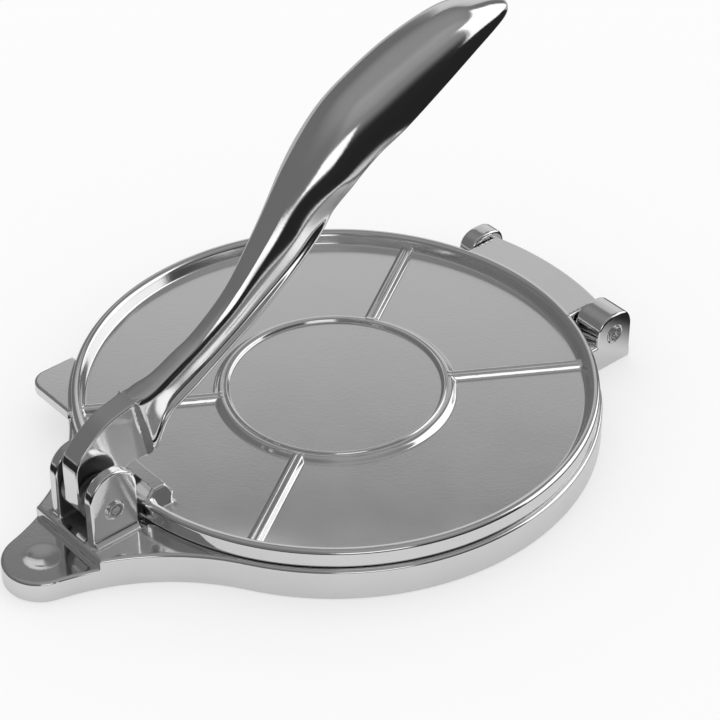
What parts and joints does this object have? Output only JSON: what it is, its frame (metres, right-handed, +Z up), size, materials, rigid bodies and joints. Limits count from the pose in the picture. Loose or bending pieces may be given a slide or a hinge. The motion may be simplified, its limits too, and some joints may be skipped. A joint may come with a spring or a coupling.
{
  "type": "tortilla press",
  "caption": "Hand press for flat dough: a ribbed round upper plate hinged on a round base and pressed down by a lever with a cam.",
  "frame": {"origin": "on the table, under the common centre of the round plates: the bottom of the boss under the middle of the base", "axes": "+X from the lever's pivot towards the rear hinge, +Y to the side with the lift tab, +Z up, away from the table"},
  "size_m": [0.27, 0.2058, 0.1636],
  "materials": {
    "cast_aluminium": "polished",
    "pin_metal": "satin"
  },
  "bodies": {
    "base_body": {"base": "cast_aluminium", "handle_pin": "pin_metal", "hinge_pin": "pin_metal"},
    "plate_body": {"upper_plate": "cast_aluminium"},
    "lever_body": {"handle": "cast_aluminium"}
  },
  "joints": [
    {"name": "handle_swing", "type": "hinge", "parent": "base_body", "child": "lever_body", "pos_m": [-0.1138, 0, 0.0264], "axis": [0, -1, 0], "range_deg": [0, 102]},
    {"name": "plate_hinge", "type": "hinge", "parent": "base_body", "child": "plate_body", "pos_m": [0.1077, 0, 0.015], "axis": [0, 1, 0], "range_deg": [0, 110]}
  ],
  "couplings": [
    {"joint": "plate_hinge", "follows": "handle_swing", "ratio": 0.18}
  ]
}
